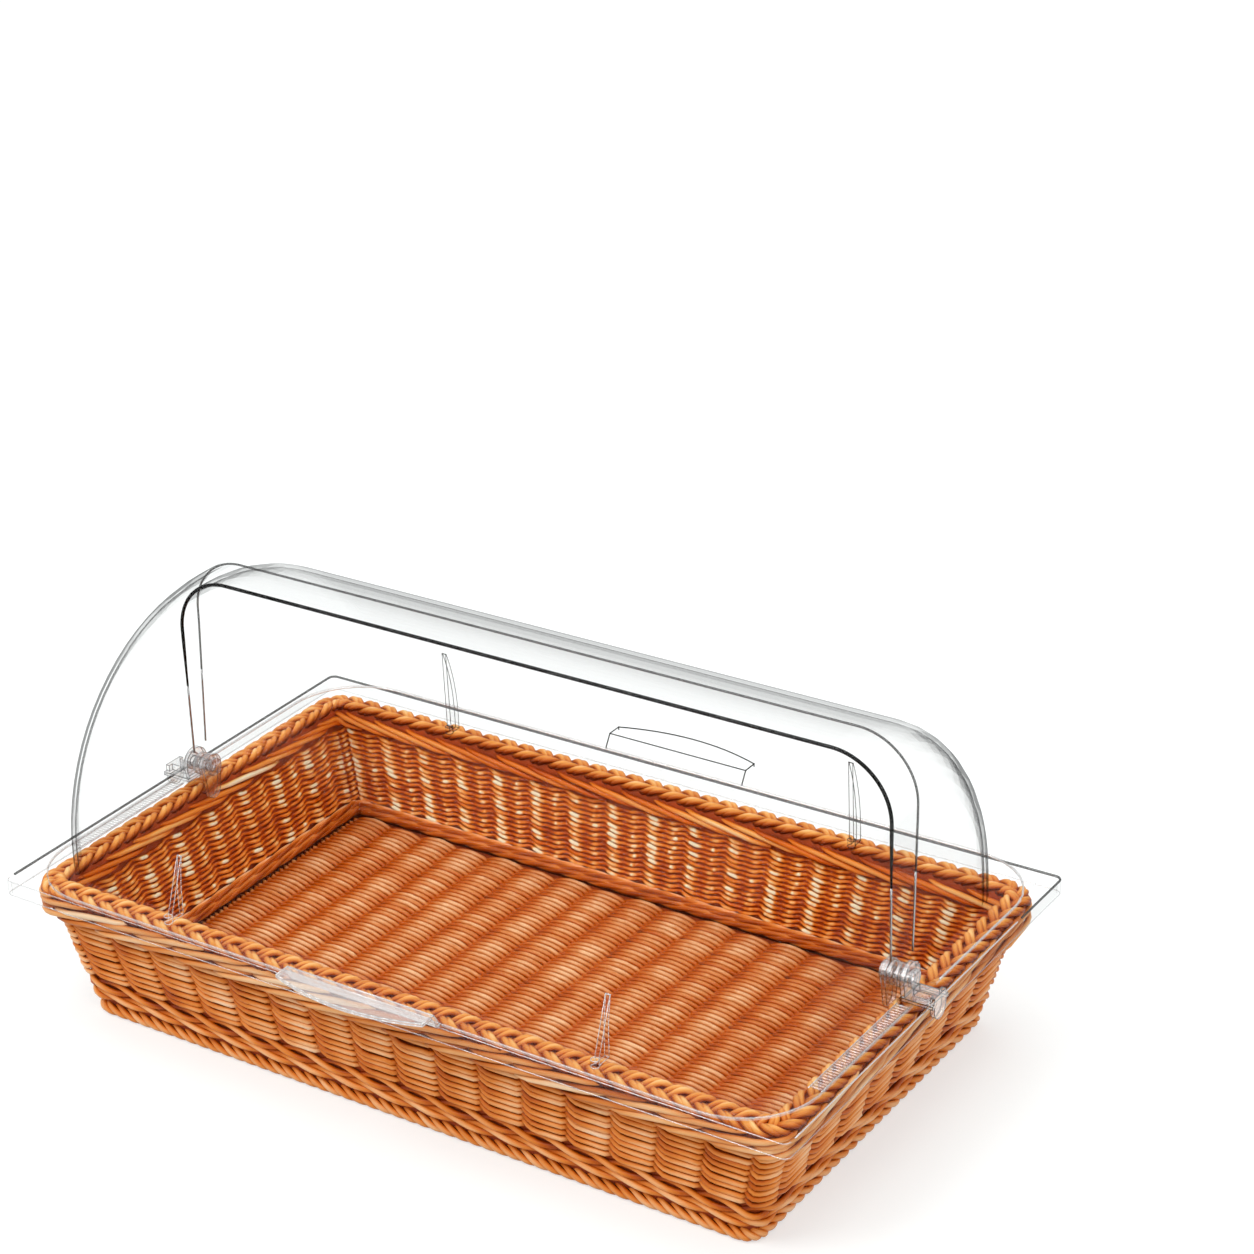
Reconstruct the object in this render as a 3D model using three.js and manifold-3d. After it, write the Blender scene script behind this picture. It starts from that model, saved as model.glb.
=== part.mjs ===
// Countertop bread display bin: a woven basket with a lift-off cover frame that
// carries two clear quarter-round shells, the front one hinged at both ends.
// Millimetres. X runs along the length, Y from the front to the back, Z up from the table.
import * as THREE from "three";
import { mergeVertices } from "three/addons/utils/BufferGeometryUtils.js";
import Module from "manifold-3d";

const wasm = await Module();
wasm.setup();

// Basket
const BASKET_HEIGHT = 95;
const BASE_LENGTH = 486;
const BASE_WIDTH = 276;
const BASE_CORNER_R = 14;
const RIM_LENGTH = 545;
const RIM_WIDTH = 313;
const WALL_END_SETBACK = 7;
const WALL_SIDE_SETBACK = 6.9;
const WALL_TOP_CORNER_R = 15;
const WALL_T = 8.8;
const WALL_OUTER_RELIEF = 2.2;
const WALL_INNER_RELIEF = 2;
const LONG_SIDE_COLUMNS = 16;
const SHORT_SIDE_COLUMNS = 8;
const CORNER_COLUMNS = 1;
const RIM_CORNER_R = 22;
const RIM_BAND = 20;
const RIM_DEPTH = 16;
const RIM_EDGE_ROUND = 1.5;
const RIM_WEB = 5.4;
const RIM_INNER_LIP = 2.2;
const RIM_SLOT_WIDTH = 11.4;
const RIM_HOOP_D = 5;
const FOOT_BORDER_WIDTH = 11;
const FOOT_BORDER_HEIGHT = 9.7;
const FOOT_EDGE_ROUND = 1.5;
const FOOT_HOOP_D = 4;
const FOOT_CHANNEL_WIDTH = 4.6;
const FLOOR_T = 4.8;
const FLOOR_RIDGE_HEIGHT = 2.7;
const FLOOR_RIDGE_TOP = 7;
const FLOOR_RIDGE_FOOT = 19;
const STAKE_COUNT = 17;
const STAKE_D = 3.6;
const STAKE_HEIGHT = 3;
const STAKE_SIDE_SETBACK = 16.2;
const STAKE_END_SETBACK = 1.6;

// Cover frame
const FRAME_END_OVERHANG = 7.5;
const FRAME_SIDE_OVERHANG = 8.5;
const FRAME_CORNER_R = 5;
const FRAME_T = 2.2;
const FRAME_FLANGE = 12;
const FRAME_SKIRT = 11;
const FRAME_INNER_R = 2;

// Shells
const SHELL_T = 2.4;
const SHELL_CORNER_R = 40;
const SHELL_GAP = 2.4;
const FRONT_EDGE_OVERLAP = 13.7;
const REAR_EDGE_OVERLAP = 9.9;
const EDGE_TAPER_HEIGHT = 100;
const AXIS_RISE = 11.5;
const FLANGE_T = 2.4;
const FLANGE_END_WIDTH = 10.2;
const FLANGE_SIDE_WIDTH = 19;
const FLANGE_END_SETBACK = 8;
const FLANGE_SIDE_SETBACK = 1;
const FLANGE_CORNER_R = 48;
const FRONT_FLANGE_START = 12;
const REAR_FLANGE_START = 16;

// Handles
const HANDLE_CHORD = 105;
const HANDLE_T = 2.4;
const HANDLE_RISE = 8;
const HANDLE_RISER_RUN = 5;
const HANDLE_END_REACH = 16;
const HANDLE_REACH = 25.5;

// Ribs
const RIB_SPACING = 306;
const RIB_T = 3.4;
const FRONT_RIB_HEIGHT = 42;
const REAR_RIB_HEIGHT = 62;
const FRONT_RIB_DEPTH = 12;
const REAR_RIB_DEPTH = 9;
const RIB_TIP = 0.9;
const RIB_TOE_D = 5.5;
const RIB_TOE_HEIGHT = 5;

// Pivots
const PIN_D = 6;
const PIN_HEAD_D = 12;
const PIN_HEAD_T = 2.1;
const PIVOT_HOLE_D = 6.6;
const BUSH_D = 15;
const EAR_R = 10;
const EAR_T = 3;
const EAR_FOOT_WIDTH = 16;
const BRACKET_FOOT_T = 2.4;
const BRACKET_FOOT_WIDTH = 19;
const BRACKET_ARM_WIDTH = 8;
const BRACKET_ARM_TOP = 6.5;
const END_PLATE_T = 3;
const END_PLATE_WIDTH = 14;
const END_PLATE_DROP = 9.5;
const PLATE_T = 3;
const PLATE_TOP_R = 8.5;
const PLATE_FOOT_R = 6;
const PLATE_DROP = 17;

// Clearances
const GAP = 0.3;
const MARGIN = 5;
const EAR_CLEARANCE = 0.3;

// Facets
const CORNER_STEPS = 8;
const ARC_STEPS = 18;
const HOLE_STEPS = 24;
const HOOP_STEPS = 8;
const STAKE_STEPS = 12;
const HANDLE_STEPS = 16;
const RIB_STEPS = 8;
const MERGE_MM = 0.0001;

// Derived heights
const frameTop = BASKET_HEIGHT + GAP + FRAME_T;
const flangeBottom = frameTop + GAP;
const flangeTop = flangeBottom + FLANGE_T;
const axisZ = frameTop + AXIS_RISE;
const shellDrop = axisZ - flangeBottom;
const shellEarR = axisZ - flangeTop - EAR_CLEARANCE;
const wallBottom = FOOT_BORDER_HEIGHT + GAP;
const wallTop = BASKET_HEIGHT - RIM_WEB - GAP * 2 - RIM_HOOP_D;
const floorBottom = wallBottom;
const floorTop = floorBottom + FLOOR_T;

// Outlines that follow the rim
const wallTopLength = RIM_LENGTH - WALL_END_SETBACK * 2;
const wallTopWidth = RIM_WIDTH - WALL_SIDE_SETBACK * 2;
const frameLength = RIM_LENGTH + FRAME_END_OVERHANG * 2;
const frameWidth = RIM_WIDTH + FRAME_SIDE_OVERHANG * 2;
const flangeLength = frameLength - FLANGE_END_SETBACK * 2;
const flangeWidth = frameWidth - FLANGE_SIDE_SETBACK * 2;
const frontShellR = flangeWidth / 2 - FLANGE_SIDE_WIDTH;

// Derived positions along X at the pivots, from the inside outwards
const frontHalf = flangeLength / 2 - FLANGE_END_WIDTH;
const frontInnerHalf = frontHalf - SHELL_T;
const rearHalf = frontInnerHalf - SHELL_GAP;
const rearInnerHalf = rearHalf - SHELL_T;
const rearShellR = frontShellR - SHELL_T - SHELL_GAP;
const plateOuterX = RIM_LENGTH / 2 - RIM_BAND - GAP * 2;
const plateInnerX = plateOuterX - PLATE_T;
const earInnerX = frontHalf + GAP;
const earOuterX = earInnerX + EAR_T;
const endPlateInnerX = frameLength / 2 + GAP;
const endPlateOuterX = endPlateInnerX + END_PLATE_T;

// Plan corner points of a rounded rectangle, anticlockwise from above.
function roundedLoop(halfLength, halfWidth, radius) {
  const points = [];
  const quarter = Math.PI / 2;
  for (let corner = 0; corner < 4; corner++) {
    const signX = corner === 0 || corner === 3 ? 1 : -1;
    const signY = corner < 2 ? 1 : -1;
    for (let step = 0; step <= CORNER_STEPS; step++) {
      const angle = quarter * (corner + step / CORNER_STEPS);
      points.push([
        signX * (halfLength - radius) + radius * Math.cos(angle),
        signY * (halfWidth - radius) + radius * Math.sin(angle),
      ]);
    }
  }
  return points;
}

// Turns a geometry into a solid.
function solidOf(geometry) {
  const bare = new THREE.BufferGeometry();
  bare.setAttribute("position", geometry.getAttribute("position"));
  if (geometry.index) bare.setIndex(geometry.index);
  const merged = mergeVertices(bare, MERGE_MM);
  const index = merged.index.array;
  const kept = [];
  for (let i = 0; i < index.length; i += 3) {
    const [a, b, c] = [index[i], index[i + 1], index[i + 2]];
    if (a !== b && b !== c && a !== c) kept.push(a, b, c);
  }
  return new wasm.Manifold(
    new wasm.Mesh({
      numProp: 3,
      vertProperties: merged.attributes.position.array,
      triVerts: new Uint32Array(kept),
    }),
  );
}

// Solid through a row of loops with equal point counts. A closed row joins its last
// loop to its first one; an open row gets a flat fan at each end.
function loftSolid(loops, closedRow) {
  const count = loops[0].length;
  const points = loops.flat();
  const faces = [];
  const rows = closedRow ? loops.length : loops.length - 1;
  for (let row = 0; row < rows; row++) {
    const here = row * count;
    const next = ((row + 1) % loops.length) * count;
    for (let i = 0; i < count; i++) {
      const j = (i + 1) % count;
      faces.push([here + i, here + j, next + j]);
      faces.push([here + i, next + j, next + i]);
    }
  }
  if (!closedRow) {
    const last = (loops.length - 1) * count;
    for (let i = 1; i < count - 1; i++) {
      faces.push([0, i + 1, i]);
      faces.push([last, last + i, last + i + 1]);
    }
  }
  let volume = 0;
  for (const [a, b, c] of faces) {
    const [p, q, r] = [points[a], points[b], points[c]];
    volume += p[0] * (q[1] * r[2] - q[2] * r[1]);
    volume += p[1] * (q[2] * r[0] - q[0] * r[2]);
    volume += p[2] * (q[0] * r[1] - q[1] * r[0]);
  }
  const turned = volume < 0 ? faces.map(([a, b, c]) => [a, c, b]) : faces;
  const geometry = new THREE.BufferGeometry();
  geometry.setAttribute("position", new THREE.Float32BufferAttribute(points.flat(), 3));
  geometry.setIndex(turned.flat());
  return solidOf(geometry);
}

// Ring around the plan: each section row is a rounded rectangle at a height.
function ringSolid(section) {
  const loops = section.map(({ half, wide, radius, z }) =>
    roundedLoop(half, wide, radius).map(([x, y]) => [x, y, z]),
  );
  return loftSolid(loops, true);
}

// Section row of a ring, offset inwards from an outer outline.
function insetRow(length, width, radius, inset, z, leastRadius = 1) {
  return {
    half: length / 2 - inset,
    wide: width / 2 - inset,
    radius: Math.max(radius - inset, leastRadius),
    z,
  };
}

// Flat plate between two heights from an outline of plan points.
function plateSolid(outline, z0, z1) {
  const shape = new THREE.Shape(outline.map(([x, y]) => new THREE.Vector2(x, y)));
  const geometry = new THREE.ExtrudeGeometry(shape, { depth: z1 - z0, bevelEnabled: false });
  geometry.translate(0, 0, z0);
  return solidOf(geometry);
}

// Solid between two X positions from an outline of [y, z] points.
function alongX(outline, x0, x1) {
  const shape = new THREE.Shape(outline.map(([y, z]) => new THREE.Vector2(y, z)));
  const geometry = new THREE.ExtrudeGeometry(shape, { depth: x1 - x0, bevelEnabled: false });
  geometry.translate(0, 0, x0);
  geometry.applyMatrix4(new THREE.Matrix4().set(0, 0, 1, 0, 1, 0, 0, 0, 0, 1, 0, 0, 0, 0, 0, 1));
  return solidOf(geometry);
}

// Round outline of [y, z] points.
function circle(y, z, radius, steps) {
  return Array.from({ length: steps }, (_, i) => {
    const angle = (2 * Math.PI * i) / steps;
    return [y + radius * Math.cos(angle), z + radius * Math.sin(angle)];
  });
}

// Box between two corners.
function boxSolid(low, high) {
  const outline = [
    [low[0], low[1]],
    [high[0], low[1]],
    [high[0], high[1]],
    [low[0], high[1]],
  ];
  return plateSolid(outline, low[2], high[2]);
}

// Rod or disc along X, centred on the pivot axis.
function axisDisc(x0, x1, diameter) {
  return alongX(circle(0, axisZ, diameter / 2, HOLE_STEPS), x0, x1);
}

// Solid mirrored to the other end or side.
function mirrored(solid, axis) {
  return solid.mirror(axis);
}

// Upper outline of a shell's cross-section, as [x, distance from the pivot axis].
function shellProfile(half, radius, cornerR) {
  const profile = [[half, 0]];
  for (let step = 0; step <= CORNER_STEPS; step++) {
    const angle = (Math.PI / 2) * (step / CORNER_STEPS);
    profile.push([
      half - cornerR + cornerR * Math.cos(angle),
      radius - cornerR + cornerR * Math.sin(angle),
    ]);
  }
  return [...profile, ...profile.map(([x, r]) => [-x, r]).reverse()];
}

// Quarter-round body about the pivot axis: a straight run behind the axis,
// a quarter turn to the front and a straight drop below the axis.
function quarterBody(half, radius, cornerR, run, drop) {
  const profile = shellProfile(half, radius, cornerR);
  const loops = [profile.map(([x, r]) => [x, run, axisZ + r])];
  for (let step = 0; step <= ARC_STEPS; step++) {
    const angle = (Math.PI / 2) * (step / ARC_STEPS);
    loops.push(
      profile.map(([x, r]) => [x, -r * Math.sin(angle), axisZ + r * Math.cos(angle)]),
    );
  }
  loops.push(profile.map(([x, r]) => [x, -r, axisZ - drop]));
  return loftSolid(loops, false);
}

// Clear shell, open towards the back and below, with an outward flange along its lower
// edge and a round ear about each pivot hole. It faces the front.
function shellSolid(half, radius, run, earR, flangeStart, taper) {
  const inner = quarterBody(
    half - SHELL_T,
    radius - SHELL_T,
    SHELL_CORNER_R - SHELL_T,
    run + MARGIN,
    shellDrop + MARGIN,
  );
  const outline = roundedLoop(flangeLength / 2, flangeWidth / 2, FLANGE_CORNER_R);
  const front = boxSolid(
    [-flangeLength, -flangeWidth, flangeBottom - MARGIN],
    [flangeLength, -flangeStart, flangeTop + MARGIN],
  );
  const flange = plateSolid(outline, flangeBottom, flangeTop).intersect(front);
  let shell = quarterBody(half, radius, SHELL_CORNER_R, run, shellDrop).add(flange);
  shell = shell.subtract(inner);
  for (const side of [-1, 1]) {
    const x0 = side < 0 ? -half : half - SHELL_T;
    shell = shell.add(alongX(circle(0, axisZ, earR, HOLE_STEPS), x0, x0 + SHELL_T));
  }
  if (taper) {
    const wedge = [
      [earR, axisZ - MARGIN * 2],
      [run + MARGIN, axisZ - MARGIN * 2],
      [run + MARGIN, axisZ + EDGE_TAPER_HEIGHT],
      [run, axisZ + EDGE_TAPER_HEIGHT],
      [earR, axisZ],
    ];
    shell = shell.subtract(alongX(wedge, -half - MARGIN, half + MARGIN));
  }
  return shell.subtract(axisDisc(-half - MARGIN, half + MARGIN, PIVOT_HOLE_D));
}

// Crescent finger tab on a sloped riser at the front flange's outer edge.
function handleSolid() {
  const edge = flangeWidth / 2 + GAP;
  const top = flangeBottom + HANDLE_RISE + HANDLE_T;
  const riser = [
    [-edge, flangeBottom],
    [-edge, flangeBottom + HANDLE_T],
    [-edge - HANDLE_RISER_RUN, top],
    [-edge - HANDLE_RISER_RUN - HANDLE_T, top],
    [-edge - HANDLE_RISER_RUN - HANDLE_T, top - HANDLE_T],
    [-edge - HANDLE_T, flangeBottom],
  ];
  const inner = edge + HANDLE_RISER_RUN;
  const sag = HANDLE_REACH - HANDLE_END_REACH;
  const tab = [
    [HANDLE_CHORD / 2, -inner],
    [-HANDLE_CHORD / 2, -inner],
  ];
  for (let step = 0; step <= HANDLE_STEPS; step++) {
    const across = (2 * step) / HANDLE_STEPS - 1;
    const reach = edge + HANDLE_END_REACH + sag * (1 - across * across);
    tab.push([(across * HANDLE_CHORD) / 2, -reach]);
  }
  return alongX(riser, -HANDLE_CHORD / 2, HANDLE_CHORD / 2).add(
    plateSolid(tab, top - HANDLE_T, top),
  );
}

// Tapered gusset rib along a shell's face on the front side, with a toe at its foot. A
// positive depth stands out from the face and a negative one stands in from it. The height
// is from the cover frame's top to the rib's tip.
function ribSolid(x, face, depth, height) {
  const foot = flangeTop + GAP;
  const outline = [[-face - depth, foot]];
  outline.push([-face, foot]);
  for (let step = 0; step <= RIB_STEPS; step++) {
    const z = axisZ + ((frameTop + height - axisZ) * step) / RIB_STEPS;
    outline.push([-Math.sqrt(face ** 2 - (z - axisZ) ** 2), z]);
  }
  const [tipY, tipZ] = outline[outline.length - 1];
  outline.push([tipY - RIB_TIP * Math.sign(depth), tipZ]);
  const toe = circle(x, -face - depth, RIB_TOE_D / 2, HOLE_STEPS / 2);
  return alongX(outline, x - RIB_T / 2, x + RIB_T / 2).add(
    plateSolid(toe, foot, foot + RIB_TOE_HEIGHT),
  );
}

// Steel hoop: a round wire bent to a rounded rectangle.
function hoopSolid(half, wide, radius, z, diameter) {
  const section = [];
  for (let step = 0; step < HOOP_STEPS; step++) {
    const angle = (2 * Math.PI * (step + 1 / 2)) / HOOP_STEPS;
    const out = (diameter / 2) * Math.cos(angle);
    section.push({
      half: half + out,
      wide: wide + out,
      radius: radius + out,
      z: z + (diameter / 2) * Math.sin(angle),
    });
  }
  return ringSolid(section);
}

// Outer outline of the woven wall at a height.
function wallOutline(z) {
  const share = z / wallTop;
  return {
    length: BASE_LENGTH + (wallTopLength - BASE_LENGTH) * share,
    width: BASE_WIDTH + (wallTopWidth - BASE_WIDTH) * share,
    radius: BASE_CORNER_R + (WALL_TOP_CORNER_R - BASE_CORNER_R) * share,
  };
}

// Section row of the wall at a height and a depth from its outer face.
function wallRow(z, inset) {
  const { length, width, radius } = wallOutline(z);
  return insetRow(length, width, radius, inset, z);
}

const wicker = { color: 0xb8702f, roughness: 0.62, metalness: 0 };
const wickerDark = { color: 0xa05c22, roughness: 0.66, metalness: 0 };
const steel = { color: 0xb9bcc0, roughness: 0.35, metalness: 1 };
const clear = { color: 0xdfe6ea, roughness: 0.06, metalness: 0 };
const clearGrey = { color: 0xc9ced2, roughness: 0.12, metalness: 0 };

const group = new THREE.Group();
group.name = "bread_display_bin";

// Adds one solid to the group as a named mesh with its own material.
function addNode(name, solid, look) {
  const made = solid.getMesh();
  const count = made.vertProperties.length / made.numProp;
  const position = new Float32Array(count * 3);
  for (let i = 0; i < count; i++) {
    const from = i * made.numProp;
    position.set(made.vertProperties.subarray(from, from + 3), i * 3);
  }
  const geometry = new THREE.BufferGeometry();
  geometry.setAttribute("position", new THREE.BufferAttribute(position, 3));
  geometry.setIndex(new THREE.BufferAttribute(new Uint32Array(made.triVerts), 1));
  geometry.computeVertexNormals();
  const mesh = new THREE.Mesh(geometry, new THREE.MeshStandardMaterial(look));
  mesh.name = name;
  group.add(mesh);
}

// Loop of the woven wall at a height, with one bulge for each column of the weave. The
// weave is a list of [share of the column's width, depth from the wall's outer outline].
function wovenLoop(z, weave) {
  const { length, width, radius } = wallOutline(z);
  const points = [];
  for (let side = 0; side < 4; side++) {
    const along = new THREE.Vector2(1, 0).rotateAround(origin, (side * Math.PI) / 2);
    const out = new THREE.Vector2(0, -1).rotateAround(origin, (side * Math.PI) / 2);
    const longSide = side % 2 === 0;
    const run = (longSide ? length : width) / 2 - radius;
    const reach = (longSide ? width : length) / 2;
    const count = longSide ? LONG_SIDE_COLUMNS : SHORT_SIDE_COLUMNS;
    for (let column = 0; column < count; column++) {
      for (const [share, depth] of weave) {
        const t = (2 * (column + share)) / count - 1;
        const point = along.clone().multiplyScalar(t * run);
        points.push(point.addScaledVector(out, reach - depth));
      }
    }
    for (let column = 0; column < CORNER_COLUMNS; column++) {
      for (const [share, depth] of weave) {
        const angle = (Math.PI / 2) * ((column + share) / CORNER_COLUMNS);
        const point = along.clone().multiplyScalar(run + (radius - depth) * Math.sin(angle));
        const rise = reach - radius + (radius - depth) * Math.cos(angle);
        points.push(point.addScaledVector(out, rise));
      }
    }
  }
  return points.map((point) => [point.x, point.y, z]);
}

// Woven basket wall: rounded columns outside and a ridge over each stake inside
const origin = new THREE.Vector2();
const COLUMN_RISE = 0.2;
const COLUMN_FALL = 0.9;
const RIDGE_SHARE = 0.16;
const outerWeave = [
  [0, WALL_OUTER_RELIEF],
  [COLUMN_RISE, WALL_OUTER_RELIEF / 4],
  [1 / 2, 0],
  [COLUMN_FALL, 0],
];
const innerDip = WALL_T - WALL_INNER_RELIEF;
const innerWeave = [
  [0, WALL_T],
  [RIDGE_SHARE, innerDip],
  [1 / 2, innerDip],
  [1 - RIDGE_SHARE, innerDip],
];
addNode(
  "woven_wall",
  loftSolid(
    [
      wovenLoop(wallBottom, outerWeave),
      wovenLoop(wallTop, outerWeave),
      wovenLoop(wallTop, innerWeave),
      wovenLoop(wallBottom, innerWeave),
    ],
    true,
  ),
  wicker,
);

// Woven floor with a ridge over each stake and a bore for it
const floorEdge = wallRow(floorBottom, WALL_T + GAP);
const stakeY = floorEdge.wide - STAKE_END_SETBACK;
const stakePitch = (2 * (floorEdge.half - STAKE_SIDE_SETBACK)) / (STAKE_COUNT - 1);
const stakeXs = Array.from(
  { length: STAKE_COUNT },
  (_, i) => (i - (STAKE_COUNT - 1) / 2) * stakePitch,
);

// Straight piece along Y from an outline of [x, z] points.
function alongY(outline, halfLength) {
  const shape = new THREE.Shape(outline.map(([x, z]) => new THREE.Vector2(x, z)));
  const geometry = new THREE.ExtrudeGeometry(shape, {
    depth: halfLength * 2,
    bevelEnabled: false,
  });
  geometry.rotateX(Math.PI / 2);
  geometry.translate(0, halfLength, 0);
  return solidOf(geometry);
}

// Rod along Y at the height of the stakes.
function floorRod(x, radius, halfLength) {
  return alongY(circle(x, floorBottom + STAKE_HEIGHT, radius, STAKE_STEPS), halfLength);
}

const floorOutline = roundedLoop(floorEdge.half, floorEdge.wide, floorEdge.radius);
let ridges = plateSolid(floorOutline, floorBottom, floorTop);
for (const x of stakeXs) {
  const ridge = [
    [x - FLOOR_RIDGE_FOOT / 2, floorBottom],
    [x + FLOOR_RIDGE_FOOT / 2, floorBottom],
    [x + FLOOR_RIDGE_FOOT / 2, floorTop],
    [x + FLOOR_RIDGE_TOP / 2, floorTop + FLOOR_RIDGE_HEIGHT],
    [x - FLOOR_RIDGE_TOP / 2, floorTop + FLOOR_RIDGE_HEIGHT],
    [x - FLOOR_RIDGE_FOOT / 2, floorTop],
  ];
  ridges = ridges.add(alongY(ridge, floorEdge.wide));
}
let floor = ridges.intersect(
  plateSolid(floorOutline, floorBottom, floorTop + FLOOR_RIDGE_HEIGHT),
);
for (const x of stakeXs) {
  floor = floor.subtract(floorRod(x, STAKE_D / 2 + GAP, floorEdge.wide + MARGIN));
}
addNode("woven_floor", floor, wicker);

// Rim border: an inverted channel over the wall and the rim hoop
const slotOuter = RIM_BAND - RIM_INNER_LIP - RIM_SLOT_WIDTH;
const slotInner = RIM_BAND - RIM_INNER_LIP;
const rimBottom = BASKET_HEIGHT - RIM_DEPTH;
const slotTop = BASKET_HEIGHT - RIM_WEB;

// Section row of the rim border.
function rimRow(inset, z) {
  return insetRow(RIM_LENGTH, RIM_WIDTH, RIM_CORNER_R, inset, z);
}

addNode(
  "rim_border",
  ringSolid([
    rimRow(RIM_EDGE_ROUND, rimBottom),
    rimRow(0, rimBottom + RIM_EDGE_ROUND),
    rimRow(0, BASKET_HEIGHT - RIM_EDGE_ROUND),
    rimRow(RIM_EDGE_ROUND, BASKET_HEIGHT),
    rimRow(RIM_BAND - RIM_EDGE_ROUND, BASKET_HEIGHT),
    rimRow(RIM_BAND, BASKET_HEIGHT - RIM_EDGE_ROUND),
    rimRow(RIM_BAND, rimBottom),
    rimRow(slotInner, rimBottom),
    rimRow(slotInner, slotTop),
    rimRow(slotOuter, slotTop),
    rimRow(slotOuter, rimBottom),
  ]),
  wickerDark,
);

const hoopInset = RIM_BAND - RIM_INNER_LIP - RIM_SLOT_WIDTH / 2;
addNode(
  "rim_hoop",
  hoopSolid(
    RIM_LENGTH / 2 - hoopInset,
    RIM_WIDTH / 2 - hoopInset,
    RIM_CORNER_R - hoopInset,
    wallTop + GAP + RIM_HOOP_D / 2,
    RIM_HOOP_D,
  ),
  steel,
);

// Foot border with a channel for the foot hoop
const channelOuter = (FOOT_BORDER_WIDTH - FOOT_CHANNEL_WIDTH) / 2;
const channelInner = channelOuter + FOOT_CHANNEL_WIDTH;
const channelBottom = FOOT_BORDER_HEIGHT - GAP * 2 - FOOT_HOOP_D;

// Section row of the foot border.
function footRow(inset, z) {
  return insetRow(BASE_LENGTH, BASE_WIDTH, BASE_CORNER_R, inset, z);
}

addNode(
  "foot_border",
  ringSolid([
    footRow(FOOT_EDGE_ROUND, 0),
    footRow(0, FOOT_EDGE_ROUND),
    footRow(0, FOOT_BORDER_HEIGHT),
    footRow(channelOuter, FOOT_BORDER_HEIGHT),
    footRow(channelOuter, channelBottom),
    footRow(channelInner, channelBottom),
    footRow(channelInner, FOOT_BORDER_HEIGHT),
    footRow(FOOT_BORDER_WIDTH, FOOT_BORDER_HEIGHT),
    footRow(FOOT_BORDER_WIDTH, FOOT_EDGE_ROUND),
    footRow(FOOT_BORDER_WIDTH - FOOT_EDGE_ROUND, 0),
  ]),
  wickerDark,
);

const footHoopInset = FOOT_BORDER_WIDTH / 2;
addNode(
  "foot_hoop",
  hoopSolid(
    BASE_LENGTH / 2 - footHoopInset,
    BASE_WIDTH / 2 - footHoopInset,
    BASE_CORNER_R - footHoopInset,
    channelBottom + GAP + FOOT_HOOP_D / 2,
    FOOT_HOOP_D,
  ),
  steel,
);

// Floor stakes
stakeXs.forEach((x, i) => {
  const name = "floor_stake_" + String(i + 1).padStart(2, "0");
  addNode(name, floorRod(x, STAKE_D / 2, stakeY), wickerDark);
});

// Cover frame: a top flange with a skirt round its outside
const skirtBottom = frameTop - FRAME_SKIRT;
const flangeUnder = frameTop - FRAME_T;

// Section row of the cover frame.
function frameRow(inset, z) {
  return insetRow(frameLength, frameWidth, FRAME_CORNER_R, inset, z, FRAME_INNER_R);
}

addNode(
  "cover_frame",
  ringSolid([
    frameRow(0, skirtBottom),
    frameRow(0, frameTop),
    frameRow(FRAME_FLANGE, frameTop),
    frameRow(FRAME_FLANGE, flangeUnder),
    frameRow(FRAME_T, flangeUnder),
    frameRow(FRAME_T, skirtBottom),
  ]),
  clearGrey,
);

// Pivot pieces of the right end
const footHalf = BRACKET_FOOT_WIDTH / 2;
const footTopZ = flangeBottom + BRACKET_FOOT_T;
const ear = [
  [-EAR_FOOT_WIDTH / 2, flangeBottom],
  [EAR_FOOT_WIDTH / 2, flangeBottom],
];
for (let step = 0; step <= HOLE_STEPS / 2; step++) {
  const angle = (Math.PI * step) / (HOLE_STEPS / 2);
  ear.push([EAR_R * Math.cos(angle), axisZ + EAR_R * Math.sin(angle)]);
}
const endPlate = [
  [END_PLATE_WIDTH / 2, flangeBottom + BRACKET_ARM_TOP],
  [-END_PLATE_WIDTH / 2, flangeBottom + BRACKET_ARM_TOP],
];
const endRound = END_PLATE_WIDTH / 2;
for (let step = 0; step <= HOLE_STEPS / 2; step++) {
  const angle = Math.PI + (Math.PI * step) / (HOLE_STEPS / 2);
  endPlate.push([
    endRound * Math.cos(angle),
    frameTop - END_PLATE_DROP + endRound + endRound * Math.sin(angle),
  ]);
}
const headInnerX = plateInnerX - GAP - PIN_HEAD_T;
const headOuterX = earOuterX + GAP + PIN_HEAD_T;
const bracket = alongX(ear, earInnerX, earOuterX)
  .add(boxSolid([earInnerX, -footHalf, flangeBottom], [endPlateOuterX, footHalf, footTopZ]))
  .add(
    boxSolid(
      [headOuterX + GAP, -BRACKET_ARM_WIDTH / 2, flangeBottom],
      [endPlateOuterX, BRACKET_ARM_WIDTH / 2, flangeBottom + BRACKET_ARM_TOP],
    ),
  )
  .add(alongX(endPlate, endPlateInnerX, endPlateOuterX))
  .subtract(axisDisc(earInnerX - MARGIN, earOuterX + GAP, PIVOT_HOLE_D));
const pin = axisDisc(headInnerX, headOuterX, PIN_D)
  .add(axisDisc(headInnerX, headInnerX + PIN_HEAD_T, PIN_HEAD_D))
  .add(axisDisc(headOuterX - PIN_HEAD_T, headOuterX, PIN_HEAD_D));

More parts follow.
